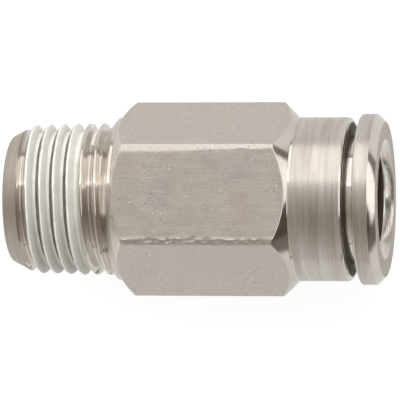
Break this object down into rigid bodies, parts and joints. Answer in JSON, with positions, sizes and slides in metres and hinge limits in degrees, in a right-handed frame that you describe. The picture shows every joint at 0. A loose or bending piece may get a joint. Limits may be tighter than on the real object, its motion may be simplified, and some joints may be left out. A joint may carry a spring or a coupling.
{
  "type": "push-in fitting",
  "caption": "Straight all-metal push-in fitting for pneumatic tube: hexagon body, sealant-coated taper male thread, round housing and a flanged release collar.",
  "frame": {"origin": "on the axis, at the small end of the male thread", "axes": "+X along the axis towards the tube end; +Z is the normal of one hexagon flat, and the fitting lies on the opposite flat"},
  "size_m": [0.0244, 0.0126, 0.011],
  "materials": {
    "nickel_plated_brass": "satin",
    "polished_nickel": "gloss",
    "stainless_steel": "satin",
    "black_rubber": "matte",
    "white_sealant": "matte"
  },
  "bodies": {
    "body": {"body": "nickel_plated_brass", "thread_sealant": "white_sealant", "tube_seal": "black_rubber", "seal_spacer": "nickel_plated_brass", "guide": "nickel_plated_brass"},
    "collet": {"collet": "polished_nickel", "chuck": "stainless_steel"},
    "collar": {"release_collar": "polished_nickel"}
  },
  "joints": [
    {"name": "release_slide", "type": "slide", "parent": "body", "child": "collet", "axis": [1, 0, 0], "range_m": [-0.0006, 0]},
    {"name": "collar_spin", "type": "hinge", "parent": "collet", "child": "collar", "pos_m": [0.0233, 0, 0], "axis": [1, 0, 0], "continuous": true}
  ]
}
